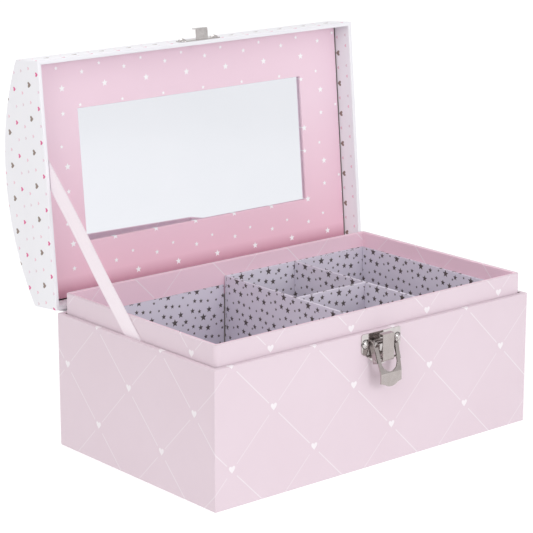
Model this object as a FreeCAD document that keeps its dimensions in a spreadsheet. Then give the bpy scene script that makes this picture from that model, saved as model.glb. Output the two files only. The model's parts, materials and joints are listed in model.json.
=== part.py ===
"""Domed keepsake box of paper-covered board, lid held open by a ribbon.

Millimetres.  X runs along the box to the right, Y to the back, Z up.  The origin is the centre of the
underside.  The lid stands open: its pieces are drawn in the lid's own frame, whose origin is on the
hinge line, and then turned back about it.
"""
import FreeCAD, Part
import math
import os
import Sketcher

DRIVING = {
    # whole box
    "box_width": 280, "box_depth": 169, "base_height": 94, "paper": 0.25, "fit_gap": 0.2,
    "underside_inset": 4,
    # boards of the base and of the collar that stands inside it
    "board": 3.0, "turn_in": 14, "collar_inset": 3.8, "collar_board": 2.8, "collar_paper": 0.2,
    "collar_top": 108.2, "collar_paper_depth": 24, "collar_corner": 2.7,
    # card liner of the left well and divided tray on the right
    "card": 0.8, "liner_top": 91.4, "tray_board": 2.0, "tray_top": 97.6, "tray_left": -0.8,
    "tray_gap": 0.3, "liner_gap": 1.2, "divider_at": 64.3, "cross_at": 0,
    # lid
    "lid_open": 95, "hinge_out": 1.0, "lid_board": 2.4, "lid_wall_height": 26, "dome_rise": 23.8,
    "panel_recess": 15.4, "panel_board": 2.0, "panel_gap": 0.9,
    # looking glass behind the panel's window
    "window_width": 200, "window_height": 92, "window_from_back": 40, "glass": 2.0,
    "glass_lap": 6, "backing_lap": 9, "backing_card": 1.0,
    # cleats glued to the lid's ends behind the panel, with their middles forward of the lid's back
    "cleat_width": 7, "cleat_length": 20, "cleat_height": 4, "cleat_first": 24, "cleat_second": 72,
    "cleat_third": 146,
    # cloth hinge strip and ribbon
    "cloth": 0.5, "cloth_tail": 11, "ribbon_width": 13.5, "ribbon_thick": 0.3, "ribbon_inset": 3.5,
    "ribbon_foot_back": 4, "ribbon_tail": 13, "ribbon_head_forward": 109.3, "ribbon_head_rise": 15,
    # latch on the base
    "plate_half": 17.4, "metal": 0.8, "plate_top": 93.3, "plate_side_bottom": 79, "plate_tip": 70.4,
    "plate_corner": 1.5, "plate_bevel": 3.0, "plate_foot_half": 5.6, "plate_foot_sag": 1.4,
    "rivet_out": 14.2, "rivet_height": 86.5, "rivet_shank": 1.5, "rivet_head": 3.0,
    "rivet_dome": 1.6, "rivet_tail": 2.6, "rivet_tail_thick": 0.5,
    "lever_pin_out": 3.2, "lever_pin_height": 86.2, "lever_pin_radius": 1.0, "ear_in": 9.0,
    "ear_radius": 2.3, "lever_lean": 16, "lever_half": 10.8, "lever_foot_half": 9.2,
    "lever_length": 20.6, "lever_front": 2.2, "lever_metal": 0.9, "arm_width": 3.2,
    "arm_start": 2.4, "arm_foot": 2.2, "opening_rail": 6.8, "opening_sag": 6.0,
    "cheek_radius": 2.1, "cheek_length": 13, "tab_side": 6.4, "tab_waist": 7.5,
    "tab_waist_half": 5.7, "tab_drop": 9.4, "pin_reach": 0.3,
    "claw_pin_along": 11, "claw_pin_radius": 0.9, "claw_half": 5.0, "claw_front": 1.77,
    "claw_height": 17.4, "claw_reach": 3.8, "claw_lip": 2.6, "running": 0.06,
    # keeper on the lid
    "keeper_low": 1.0, "keeper_high": 11, "keeper_corner": 3.0, "keeper_rivet": 6,
    "hook_half": 5.2, "hook_low": 1.2, "hook_out": 8.6, "hook_lip": 4.6,
}

doc = FreeCAD.newDocument("KeepsakeBox")
sheet = doc.addObject("Spreadsheet::Sheet", "Sizes")
for row, (alias, number) in enumerate(DRIVING.items(), start=1):
    sheet.set("A%d" % row, alias)
    sheet.set("B%d" % row, str(number))
    sheet.setAlias("B%d" % row, alias)
doc.recompute()


class Size:
    """A size with its value now and the formula on the sheet that keeps it up to date."""

    def __init__(self, value, text=None):
        self.value = float(value)
        self.text = text or repr(self.value)

    def joined(self, other, sign, value):
        return Size(value, "(%s %s %s)" % (self.text, sign, other.text))

    def __add__(self, other):
        other = as_size(other)
        return self.joined(other, "+", self.value + other.value)

    def __sub__(self, other):
        other = as_size(other)
        return self.joined(other, "-", self.value - other.value)

    def __mul__(self, other):
        other = as_size(other)
        return self.joined(other, "*", self.value * other.value)

    def __truediv__(self, other):
        other = as_size(other)
        return self.joined(other, "/", self.value / other.value)

    def __rsub__(self, other):
        return as_size(other) - self

    def __neg__(self):
        return Size(-self.value, "(-1 * %s)" % self.text)

    __radd__ = __add__
    __rmul__ = __mul__


def as_size(number):
    return number if isinstance(number, Size) else Size(number)


def root(size):
    return Size(size.value ** 0.5, "sqrt(%s)" % size.text)


def sine(angle):
    return Size(math.sin(math.radians(angle.value)), "sin(%s)" % angle.text)


def cosine(angle):
    return Size(math.cos(math.radians(angle.value)), "cos(%s)" % angle.text)


class Dimensions:
    """Every alias of the sheet as a Size, so that D.box_width is the box's width."""

    def __init__(self, aliases):
        for alias in aliases:
            setattr(self, alias, Size(sheet.get(alias), "Sizes." + alias))


D = Dimensions(DRIVING)
half_width = D.box_width / 2
half_depth = D.box_depth / 2
hinge_y = half_depth + D.hinge_out
hinge_z = D.base_height + D.fit_gap / 2
mouth = D.fit_gap / 2                   # the lid's mouth above the hinge line, in the lid's frame
lid_back = -D.hinge_out                 # outer face of the lid's back wall, in the lid's frame
lid_front = -D.hinge_out - D.box_depth
wall_skin = D.paper + D.lid_board       # from the lid's outer face to its boards' inner face
front_face = -half_depth
diagonal = 0.5 ** 0.5                   # cosine of 45 degrees, for the middle of a rounded corner

parts = []


# ---------------------------------------------------------------- building helpers

def bind(obj, prop, size):
    obj.setExpression(prop, as_size(size).text)


def place(obj, x=0, y=0, z=0, turn=0):
    """Put an object at x, y, z, turned about X."""
    spot = [as_size(value) for value in (x, y, z)]
    turn = as_size(turn)
    rotation = FreeCAD.Rotation(FreeCAD.Vector(1, 0, 0), turn.value or 1)
    obj.Placement = FreeCAD.Placement(FreeCAD.Vector(*[value.value for value in spot]), rotation)
    for axis, value in zip("xyz", spot):
        bind(obj, "Placement.Base." + axis, value)
    bind(obj, "Placement.Rotation.Angle", turn)
    return obj


def place_on_lid(obj, x=0, y=0, z=0, turn=0):
    """Put an object at x, y, z of the lid's own frame, as the open lid carries it."""
    y, z = as_size(y), as_size(z)
    swing_cos, swing_sin = cosine(D.lid_open), sine(D.lid_open)
    world_y = hinge_y + y * swing_cos + z * swing_sin
    world_z = hinge_z - y * swing_sin + z * swing_cos
    return place(obj, x, world_y, world_z, as_size(turn) - D.lid_open)


def name_of(label):
    return "".join(word.capitalize() for word in label.split("_"))


def keep(obj):
    """Count an object as a finished piece, to be written to the file that its label names."""
    parts.append(obj)
    return obj


def block(label, low, high, put=place):
    """A rectangular block from its low corner to its high corner."""
    obj = doc.addObject("Part::Box", name_of(label))
    obj.Label = label
    low = [as_size(value) for value in low]
    for prop, start, end in zip(("Length", "Width", "Height"), low, high):
        bind(obj, prop, as_size(end) - start)
    return put(obj, *low)


def rod(label, x_from, x_to, y, z, radius):
    """A round bar along X."""
    obj = doc.addObject("Part::Cylinder", name_of(label))
    obj.Label = label
    bind(obj, "Radius", radius)
    bind(obj, "Height", as_size(x_to) - x_from)
    obj.Placement = FreeCAD.Placement(
        FreeCAD.Vector(as_size(x_from).value, as_size(y).value, as_size(z).value),
        FreeCAD.Rotation(FreeCAD.Vector(0, 1, 0), 90))
    for axis, value in zip("xyz", (x_from, y, z)):
        bind(obj, "Placement.Base." + axis, value)
    return obj


def bore(label, x, y_from, y_to, z, radius):
    """A round bar along Y, used to drill a wall."""
    obj = doc.addObject("Part::Cylinder", name_of(label))
    obj.Label = label
    bind(obj, "Radius", radius)
    bind(obj, "Height", as_size(y_to) - y_from)
    obj.Placement = FreeCAD.Placement(
        FreeCAD.Vector(as_size(x).value, as_size(y_from).value, as_size(z).value),
        FreeCAD.Rotation(FreeCAD.Vector(1, 0, 0), -90))
    for axis, value in zip("xyz", (x, y_from, z)):
        bind(obj, "Placement.Base." + axis, value)
    return obj


def rivet_bores(label, y_from, y_to, z, radius):
    """The pair of bars that drill a wall where the latch's or the keeper's two rivets go."""
    return [bore(label, side * D.rivet_out, y_from, y_to, z, radius) for side in (-1, 1)]


def cut(label, base, tools):
    """Take one or more tools away from a base."""
    if len(tools) > 1:
        tool = fuse(label + "_tools", tools)
    else:
        tool = tools[0]
    obj = doc.addObject("Part::Cut", name_of(label))
    obj.Label = label
    obj.Base = base
    obj.Tool = tool
    return obj


def fuse(label, shapes):
    obj = doc.addObject("Part::MultiFuse", name_of(label))
    obj.Label = label
    obj.Shapes = shapes
    return obj


def group(label, shapes):
    """Several like pieces in one node, each a solid of its own."""
    obj = doc.addObject("Part::Compound", name_of(label))
    obj.Links = shapes
    obj.Label = label
    return keep(obj)


def origin_plane(body, role):
    return next(plane for plane in body.Origin.OriginFeatures if plane.Role == role)


def outline(body, role, points, bends=None):
    """A closed sketch through the points, with every point held by sheet formulas.

    bends gives, for the side that starts at a point's number, a Size triple: the arc's radius and a
    point half way along the arc.
    """
    bends = bends or {}
    sketch = body.newObject("Sketcher::SketchObject", body.Name + "Outline")
    sketch.AttachmentSupport = [(origin_plane(body, role), "")]
    sketch.MapMode = "FlatFace"
    points = [(as_size(across), as_size(up)) for across, up in points]
    spots = [FreeCAD.Vector(across.value, up.value, 0) for across, up in points]
    starts = []
    for number, spot in enumerate(spots):
        after = spots[(number + 1) % len(spots)]
        if number in bends:
            middle = FreeCAD.Vector(bends[number][1].value, bends[number][2].value, 0)
            edge = sketch.addGeometry(Part.Arc(spot, middle, after), False)
            begins_here = sketch.getPoint(edge, 1).distanceToPoint(spot) < 1e-6
        else:
            edge = sketch.addGeometry(Part.LineSegment(spot, after), False)
            begins_here = True
        starts.append((edge, 1, 2) if begins_here else (edge, 2, 1))
    for number, (edge, begin, finish) in enumerate(starts):
        following = starts[(number + 1) % len(starts)]
        sketch.addConstraint(Sketcher.Constraint("Coincident", edge, finish, following[0], following[1]))
        across, up = points[number]
        for kind, value in (("DistanceX", across), ("DistanceY", up)):
            rule = sketch.addConstraint(Sketcher.Constraint(kind, -1, 1, edge, begin, value.value))
            bind(sketch, "Constraints[%d]" % rule, value)
        if number in bends:
            radius = bends[number][0]
            rule = sketch.addConstraint(Sketcher.Constraint("Radius", edge, radius.value))
            bind(sketch, "Constraints[%d]" % rule, radius)
    return sketch


def pad(body, sketch, length, both_ways=False, reverse=False):
    feature = body.newObject("PartDesign::Pad", body.Name + "Pad")
    feature.Profile = sketch
    feature.SideType = "Symmetric" if both_ways else "One side"
    feature.Reversed = reverse
    bind(feature, "Length", length)
    sketch.Visibility = False
    return feature


def pocket(body, sketch, length):
    """Cut the sketch's shape out of the body, by half the length each way."""
    feature = body.newObject("PartDesign::Pocket", body.Name + "Pocket")
    feature.Profile = sketch
    feature.SideType = "Symmetric"
    bind(feature, "Length", length)
    return feature


def new_body(label):
    body = doc.addObject("PartDesign::Body", name_of(label))
    body.Label = label
    return body


def padded(label, role, points, length, bends=None, both_ways=True, reverse=False):
    body = new_body(label)
    pad(body, outline(body, role, points, bends), length, both_ways, reverse)
    return body


# ---------------------------------------------------------------- base: boards and papers

def make_base():
    """Outer box: a bottom board between four wall boards, wrapped in printed paper."""
    skin = D.paper
    floor = D.paper * 2
    left, right = skin - half_width, half_width - skin
    front, back = skin - half_depth, half_depth - skin
    top = D.base_height - skin
    inner_left, inner_right = left + D.board, right - D.board
    inner_front, inner_back = front + D.board, back - D.board

    inset = D.underside_inset
    keep(block("base_underside_paper", (inset - half_width, inset - half_depth, 0),
               (half_width - inset, half_depth - inset, skin)))
    keep(block("base_bottom_board", (inner_left, inner_front, floor),
               (inner_right, inner_back, floor + D.board)))

    front_board = block("front_blank", (left, front, floor), (right, inner_front, top))
    drills = rivet_bores("front_drill", front - 1, inner_front + 1, D.rivet_height, D.rivet_shank)
    sinks = rivet_bores("front_sink", inner_front - D.rivet_tail_thick, inner_front + 1,
                        D.rivet_height, D.rivet_tail)
    keep(cut("base_wall_front", front_board, drills + sinks))
    keep(block("base_wall_back", (left, inner_back, floor), (right, back, top)))
    keep(block("base_wall_left", (left, inner_front, floor), (inner_left, inner_back, top)))
    keep(block("base_wall_right", (inner_right, inner_front, floor), (right, inner_back, top)))

    outer = block("wrap_outer", (-half_width, front_face, skin), (half_width, half_depth, D.base_height))
    hollow = block("wrap_hollow", (left, front, floor), (right, back, top))
    top_hole = block("wrap_top_hole", (inner_left, inner_front, top - 1),
                     (inner_right, inner_back, D.base_height + 1))
    turned = D.turn_in
    under_hole = block("wrap_under_hole", (left + turned, front + turned, skin - 1),
                       (right - turned, back - turned, floor + 1))
    drills = rivet_bores("wrap_drill", front_face - 1, front + 1, D.rivet_height, D.rivet_shank)
    keep(cut("base_wrap_paper", outer, [hollow, top_hole, under_hole] + drills))


def rounded_middle(corner_x, corner_y, radius):
    """Middle of the arc that rounds a corner, given the corner of the square outline."""
    inward = radius - radius * diagonal
    return (corner_x - inward if corner_x.value > 0 else corner_x + inward,
            corner_y - inward if corner_y.value > 0 else corner_y + inward)


def collar_end_board(label, side, low, high):
    """Front or back board of the collar, over its whole width, with its two outer corners rounded."""
    board_x = half_width - D.collar_inset - D.collar_paper
    outer = side * (half_depth - D.collar_inset - D.collar_paper)
    inner = outer - side * D.collar_board
    radius = D.collar_corner
    shoulder = outer - side * radius
    points = [(-board_x, inner), (-board_x, shoulder), (radius - board_x, outer),
              (board_x - radius, outer), (board_x, shoulder), (board_x, inner)]
    bends = {1: (radius, *rounded_middle(-board_x, outer, radius)),
             3: (radius, *rounded_middle(board_x, outer, radius))}
    board = padded(label, "XY_Plane", points, high - low, bends, both_ways=False)
    return keep(place(board, 0, 0, low))


def collar_paper_blank(low, high):
    """Block of the collar paper's outside size, with four rounded upright corners."""
    x, y = half_width - D.collar_inset, half_depth - D.collar_inset
    radius = D.collar_corner + D.collar_paper
    points = [(x - radius, -y), (x, radius - y), (x, y - radius), (x - radius, y),
              (radius - x, y), (-x, y - radius), (-x, radius - y), (radius - x, -y)]
    bends = {0: (radius, *rounded_middle(x, -y, radius)), 2: (radius, *rounded_middle(x, y, radius)),
             4: (radius, *rounded_middle(-x, y, radius)), 6: (radius, *rounded_middle(-x, -y, radius))}
    blank = padded("collar_paper_blank", "XY_Plane", points, high - low, bends, both_ways=False)
    return place(blank, 0, 0, low)


def make_collar():
    """Collar boards that stand inside the outer box and guide the lid, with their paper."""
    floor = D.paper * 2 + D.board
    outer_x, outer_y = half_width - D.collar_inset, half_depth - D.collar_inset
    board_x, board_y = outer_x - D.collar_paper, outer_y - D.collar_paper
    inner_x, inner_y = board_x - D.collar_board, board_y - D.collar_board
    top = D.collar_top - D.collar_paper
    front = collar_end_board("collar_front", -1, floor, top)
    back = collar_end_board("collar_back", 1, floor, top)
    left = keep(block("collar_left", (-board_x, -inner_y, floor), (-inner_x, inner_y, top)))
    right = keep(block("collar_right", (inner_x, -inner_y, floor), (board_x, inner_y, top)))

    low = D.collar_top - D.collar_paper_depth
    clear_x, clear_y = inner_x - D.collar_paper, inner_y - D.collar_paper
    clear = block("collar_wrap_clear", (-clear_x, -clear_y, low - 1),
                  (clear_x, clear_y, D.collar_top + 1))
    blank = collar_paper_blank(low, D.collar_top)
    keep(cut("collar_wrap_paper", blank, [clear, front, back, left, right]))


def make_well_liner():
    """One folded card that lines the left well: a floor and three walls, open towards the tray."""
    floor = D.paper * 2 + D.board
    inset = D.collar_inset + D.collar_paper * 2 + D.collar_board + D.tray_gap
    left, right = inset - half_width, D.tray_left - D.liner_gap
    front, back = inset - half_depth, half_depth - inset
    outer = block("liner_outer", (left, front, floor), (right, back, D.liner_top))
    hollow = block("liner_hollow", (left + D.card, front + D.card, floor + D.card),
                   (right + 1, back - D.card, D.liner_top + 1))
    keep(cut("well_liner_card", outer, [hollow]))


def make_tray():
    """Divided tray of star-papered board: floor, four walls, a long and a cross divider."""
    low = D.paper * 2 + D.board
    inset = D.collar_inset + D.collar_paper * 2 + D.collar_board + D.tray_gap
    left, right = D.tray_left, half_width - inset
    front, back = inset - half_depth, half_depth - inset
    thick, top = D.tray_board, D.tray_top
    rim = low + thick
    half_thick = thick / 2
    keep(block("tray_floor", (left, front, low), (right, back, rim)))
    keep(block("tray_wall_front", (left, front, rim), (right, front + thick, top)))
    keep(block("tray_wall_back", (left, back - thick, rim), (right, back, top)))
    keep(block("tray_wall_left", (left, front + thick, rim), (left + thick, back - thick, top)))
    keep(block("tray_wall_right", (right - thick, front + thick, rim), (right, back - thick, top)))
    keep(block("tray_divider_long", (D.divider_at - half_thick, front + thick, rim),
               (D.divider_at + half_thick, back - thick, top)))
    keep(block("tray_divider_cross", (left + thick, D.cross_at - half_thick, rim),
               (D.divider_at - half_thick, D.cross_at + half_thick, top)))


# ---------------------------------------------------------------- lid

dome_radius = (half_depth * half_depth + D.dome_rise * D.dome_rise) / (2 * D.dome_rise)
dome_centre_y = lid_back - half_depth
dome_centre_z = mouth + D.lid_wall_height + D.dome_rise - dome_radius


def dome_height(inset, reach):
    """Height of the dome's curve, inset from the outer one, at a reach from the lid's middle."""
    radius = dome_radius - inset
    return dome_centre_z + root(radius * radius - reach * reach)


def lid_profile(inset, low):
    """Section of the lid at an inset from its outer skin: straight walls under one arc."""
    reach = half_depth - inset
    shoulder = dome_height(inset, reach)
    points = [(dome_centre_y - reach, low), (dome_centre_y + reach, low),
              (dome_centre_y + reach, shoulder), (dome_centre_y - reach, shoulder)]
    radius = dome_radius - inset
    return points, {2: (radius, dome_centre_y, dome_centre_z + radius)}


def make_lid_shell():
    """Front and back walls, two D-shaped ends and the curved top board."""
    skin = D.paper
    side = half_width - skin
    low = mouth + skin
    shoulder = dome_height(wall_skin, half_depth - wall_skin)
    height = mouth + D.keeper_rivet
    front_blank = block("lid_front_blank", (-side, lid_front + skin, low),
                        (side, lid_front + wall_skin, shoulder))
    inner_front = lid_front + wall_skin
    drills = rivet_bores("lid_drill", lid_front - 1, inner_front + 1, height, D.rivet_shank)
    sinks = rivet_bores("lid_sink", inner_front - D.rivet_tail_thick, inner_front + 1, height,
                        D.rivet_tail)
    keep(place_on_lid(cut("lid_wall_front", front_blank, drills + sinks)))
    keep(block("lid_wall_back", (-side, lid_back - wall_skin, low), (side, lid_back - skin, shoulder),
               place_on_lid))

    points, bends = lid_profile(wall_skin, low)
    for label, way in (("lid_end_left", -1), ("lid_end_right", 1)):
        end = padded(label, "YZ_Plane", points, D.lid_board, bends)
        keep(place_on_lid(end, way * (side - D.lid_board / 2)))

    outer_reach, inner_reach = half_depth - skin, half_depth - wall_skin
    outer_radius, inner_radius = dome_radius - skin, dome_radius - wall_skin
    outer_shoulder = dome_height(skin, outer_reach)
    points = [(dome_centre_y + outer_reach, shoulder), (dome_centre_y + outer_reach, outer_shoulder),
              (dome_centre_y - outer_reach, outer_shoulder), (dome_centre_y - outer_reach, shoulder),
              (dome_centre_y - inner_reach, shoulder), (dome_centre_y + inner_reach, shoulder)]
    bends = {1: (outer_radius, dome_centre_y, dome_centre_z + outer_radius),
             4: (inner_radius, dome_centre_y, dome_centre_z + inner_radius)}
    keep(place_on_lid(padded("lid_dome_board", "YZ_Plane", points, side * 2, bends)))


def make_lid_papers():
    """Printed paper over the whole lid and turned across its mouth edge, and the lining inside."""
    skin = D.paper
    wrap = new_body("lid_wrap_blank")
    pad(wrap, outline(wrap, "YZ_Plane", *lid_profile(as_size(0), mouth)), D.box_width, True)
    pocket(wrap, outline(wrap, "YZ_Plane", *lid_profile(skin, mouth + skin)), D.box_width - skin * 2)
    side = half_width - wall_skin
    back, front = lid_back - wall_skin, lid_front + wall_skin
    mouth_points = [(-side, front), (side, front), (side, back), (-side, back)]
    pocket(wrap, outline(wrap, "XY_Plane", mouth_points), (mouth + skin) * 2 + 1)
    drills = rivet_bores("lid_wrap_drill", lid_front - 1, lid_front + 1, mouth + D.keeper_rivet,
                         D.rivet_shank)
    keep(place_on_lid(cut("lid_wrap_paper", wrap, drills)))

    high = mouth + D.panel_recess
    outer = block("lining_outer", (-side, front, mouth), (side, back, high))
    hollow = block("lining_hollow", (skin - side, front + skin, mouth - 1),
                   (side - skin, back - skin, high + 1))
    keep(place_on_lid(cut("lid_lining_paper", outer, [hollow])))


def make_panel():
    """Star-papered panel across the lid, the looking glass behind its window, and what holds them."""
    low = mouth + D.panel_recess
    high = low + D.panel_board
    inset = wall_skin + D.paper + D.panel_gap
    window_x = D.window_width / 2
    window_back = lid_back - D.window_from_back
    window_front = window_back - D.window_height
    board = block("panel_blank", (inset - half_width, lid_front + inset, low),
                  (half_width - inset, lid_back - inset, high))
    window = block("panel_window", (-window_x, window_front, low - 1), (window_x, window_back, high + 1))
    keep(place_on_lid(cut("lid_panel_board", board, [window])))

    def behind(label, lap, start, end, put=place):
        return block(label, (-window_x - lap, window_front - lap, start),
                     (window_x + lap, window_back + lap, end), put)

    glass_top = high + D.glass
    lap, frame_lap = D.glass_lap, D.glass_lap + D.backing_lap
    keep(behind("mirror_glass", lap, high, glass_top, place_on_lid))
    bed = cut("mirror_bed_frame", behind("bed_outer", frame_lap, high, glass_top),
              [behind("bed_hollow", lap + D.fit_gap, high - 1, glass_top + 1)])
    keep(place_on_lid(bed))
    keep(behind("mirror_backing_card", frame_lap, glass_top, glass_top + D.backing_card, place_on_lid))

    cleats = []
    for side in (-1, 1):
        outer = side * (half_width - wall_skin)
        inner = outer - side * D.cleat_width
        low_x, high_x = (outer, inner) if side < 0 else (inner, outer)
        for forward in (D.cleat_first, D.cleat_second, D.cleat_third):
            start = lid_back - forward - D.cleat_length / 2
            cleats.append(block("panel_cleat", (low_x, start, high),
                                (high_x, start + D.cleat_length, high + D.cleat_height)))
    place_on_lid(group("panel_cleats", cleats))


# ---------------------------------------------------------------- cloth hinge and ribbon

def make_cloth_hinge():
    """Cloth strip across the back: a tail on the base, a tail on the lid and a bend round the hinge line."""
    thick, tail = D.cloth, D.cloth_tail
    swing_sin, swing_cos = sine(D.lid_open), cosine(D.lid_open)
    half_sin, half_cos = sine(D.lid_open / 2), cosine(D.lid_open / 2)

    def on_lid(back_off, up):
        """A point at back_off behind the lid's back face and up from the hinge line, in world Y and Z."""
        y = lid_back + back_off
        return (hinge_y + y * swing_cos + up * swing_sin, hinge_z - y * swing_sin + up * swing_cos)

    def bend(radius):
        """The arc round the hinge line at that radius: the radius and the arc's middle point."""
        return (radius, hinge_y - radius * half_cos, hinge_z + radius * half_sin)

    points = [(half_depth, hinge_z - tail), (half_depth + thick, hinge_z - tail),
              (half_depth + thick, hinge_z), on_lid(thick, 0), on_lid(thick, tail), on_lid(0, tail),
              on_lid(0, 0), (half_depth, hinge_z)]
    bends = {2: bend(D.hinge_out - thick), 6: bend(D.hinge_out)}
    keep(padded("hinge_strip", "YZ_Plane", points, D.box_width - D.turn_in, bends))


def make_ribbon():
    """Ribbon stay: from between wall and collar, taut to the lid, and in behind the panel."""
    foot_y, foot_z = D.ribbon_foot_back, D.base_height
    swing_sin, swing_cos = sine(D.lid_open), cosine(D.lid_open)
    head_y_on_lid, head_z_on_lid = lid_back - D.ribbon_head_forward, mouth + D.ribbon_head_rise
    head_y = hinge_y + head_y_on_lid * swing_cos + head_z_on_lid * swing_sin
    head_z = hinge_z - head_y_on_lid * swing_sin + head_z_on_lid * swing_cos
    run_y, run_z = head_y - foot_y, head_z - foot_z
    length = root(run_y * run_y + run_z * run_z)
    along_y, along_z = run_y / length, run_z / length
    half = D.ribbon_width / 2
    tail = D.ribbon_tail
    side_y, side_z = -along_z * half, along_y * half
    low_y, low_z = foot_y - along_y * tail, foot_z - along_z * tail
    high_y, high_z = head_y + along_y * tail, head_z + along_z * tail
    points = [(low_y + side_y, low_z + side_z), (low_y - side_y, low_z - side_z),
              (high_y - side_y, high_z - side_z), (high_y + side_y, high_z + side_z)]
    ribbon = padded("ribbon_stay", "YZ_Plane", points, D.ribbon_thick)
    keep(place(ribbon, D.ribbon_inset - half_width))


# ---------------------------------------------------------------- latch

def make_rivets(label, reach, put, y, z, wall):
    """Two domed rivets: a head outside, a shank through the wall and a flat tail sunk inside."""
    pair = []
    shank, head, tail = D.rivet_shank, D.rivet_head, D.rivet_tail
    dome = D.rivet_dome
    dome_arc = (head * head + dome * dome) / (2 * dome)
    knee = head * diagonal
    knee_height = root(dome_arc * dome_arc - knee * knee) - dome_arc + dome
    end = -wall
    for side in (-1, 1):
        body = new_body("%s_%s" % (label, "left" if side < 0 else "right"))
        points = [(0, end), (tail, end), (tail, end + D.rivet_tail_thick), (shank, end + D.rivet_tail_thick),
                  (shank, 0), (head, 0), (0, dome)]
        sketch = outline(body, "XZ_Plane", points, {5: (dome_arc, knee, knee_height)})
        turned = body.newObject("PartDesign::Revolution", body.Name + "Turned")
        turned.Profile = sketch
        turned.ReferenceAxis = (sketch, ["V_Axis"])
        turned.Angle = 360
        put(body, side * reach, y, z, 90)
        pair.append(body)
    return group(label, pair)


def make_latch_plate():
    """Pressed plate with a shield-shaped foot, rivet holes and two ears for the lever's pin."""
    half, top, side_low, tip = D.plate_half, D.plate_top, D.plate_side_bottom, D.plate_tip
    corner, bevel = D.plate_corner, D.plate_bevel
    foot_x, sag = D.plate_foot_half, D.plate_foot_sag
    foot_z = tip + sag
    points = [(corner - half, top), (-half, top - corner), (-half, side_low + bevel),
              (bevel - half, side_low), (-foot_x, foot_z), (foot_x, foot_z),
              (half - bevel, side_low), (half, side_low + bevel), (half, top - corner),
              (half - corner, top)]
    corner_in, bevel_in = corner - corner * diagonal, bevel - bevel * diagonal
    foot_radius = (foot_x * foot_x + sag * sag) / (2 * sag)
    bends = {0: (corner, corner_in - half, top - corner_in),
             8: (corner, half - corner_in, top - corner_in),
             2: (bevel, bevel_in - half, side_low + bevel_in),
             6: (bevel, half - bevel_in, side_low + bevel_in),
             4: (foot_radius, as_size(0), tip)}
    plate = padded("latch_plate_sheet", "XZ_Plane", points, D.metal, bends, both_ways=True)
    place(plate, 0, front_face - D.metal / 2, 0)
    drills = rivet_bores("plate_drill", front_face - 2, front_face + 1, D.rivet_height, D.rivet_shank)
    pin_y = front_face - D.lever_pin_out
    ears = []
    for side in (-1, 1):
        low_x = side * D.ear_in if side > 0 else -D.ear_in - D.metal
        ears.append(block("plate_ear", (low_x, pin_y, D.lever_pin_height - D.ear_radius),
                          (low_x + D.metal, front_face - D.metal / 2, D.lever_pin_height + D.ear_radius)))
        ears.append(rod("plate_ear_end", low_x, low_x + D.metal, pin_y, D.lever_pin_height,
                        D.ear_radius))
    solid = fuse("latch_plate_solid", [plate] + ears)
    pin_hole = rod("plate_pin_hole", -half, half, pin_y, D.lever_pin_height, D.lever_pin_radius)
    keep(cut("latch_plate", solid, drills + [pin_hole]))


def make_lever():
    """Stamped lever: two arms with pivot cheeks, a round-ended opening and a shaped finger tab."""
    half, foot, length = D.lever_half, D.lever_foot_half, D.lever_length
    start, arm = D.arm_start, D.arm_width
    hole_foot, hole_line = foot - D.arm_foot, D.opening_rail - length
    sag = D.opening_sag
    sheet_y = D.lever_metal / 2 - D.lever_front
    points = [(-half, -start), (-foot, -length), (foot, -length), (half, -start), (half - arm, -start),
              (hole_foot, hole_line), (-hole_foot, hole_line), (arm - half, -start)]
    hole_radius = (hole_foot * hole_foot + sag * sag) / (2 * sag)
    frame = padded("lever_frame", "XZ_Plane", points, D.lever_metal,
                   {5: (hole_radius, as_size(0), hole_line - sag)})
    place(frame, 0, sheet_y, 0)

    waist_half, waist, drop = D.tab_waist_half, D.tab_waist, D.tab_drop
    points = [(-foot, 0), (-foot, -D.tab_side), (-waist_half, -waist), (waist_half, -waist),
              (foot, -D.tab_side), (foot, 0)]
    tip_sag = drop - waist
    tip_radius = (waist_half * waist_half + tip_sag * tip_sag) / (2 * tip_sag)
    tab = padded("lever_tab", "XZ_Plane", points, D.lever_metal, {2: (tip_radius, as_size(0), -drop)})
    place(tab, 0, sheet_y, -length, D.lever_lean)
    knee = rod("lever_knee", -foot, foot, sheet_y, -length, D.lever_metal / 2)

    cheeks = []
    for side in (-1, 1):
        low_x = half - D.metal if side > 0 else -half
        cheeks.append(block("lever_cheek", (low_x, sheet_y, -D.cheek_length),
                            (low_x + D.metal, D.cheek_radius, 0)))
        cheeks.append(rod("lever_cheek_end", low_x, low_x + D.metal, 0, 0, D.cheek_radius))
    solid = fuse("lever_solid", [frame, tab, knee] + cheeks)
    pivot = rod("lever_pivot_hole", -half - 1, half + 1, 0, 0, D.lever_pin_radius + D.running)
    claw_hole = rod("lever_claw_hole", -half - 1, half + 1, 0, -D.claw_pin_along, D.claw_pin_radius)
    lever = cut("latch_lever", solid, [pivot, claw_hole])
    place(lever, 0, front_face - D.lever_pin_out, D.lever_pin_height, -D.lever_lean)
    keep(lever)


def make_latch_pins():
    """The lever's pin, held by the plate's ears, and the claw's pin, held by the lever."""
    reach = D.lever_half + D.pin_reach
    pin_y = front_face - D.lever_pin_out
    keep(rod("lever_pin", -reach, reach, pin_y, D.lever_pin_height, D.lever_pin_radius))
    claw_y, claw_z = claw_pin_place()
    keep(rod("claw_pin", -reach, reach, claw_y, claw_z, D.claw_pin_radius))


def claw_pin_place():
    along = D.claw_pin_along
    return (front_face - D.lever_pin_out - along * sine(D.lever_lean),
            D.lever_pin_height - along * cosine(D.lever_lean))


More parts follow.
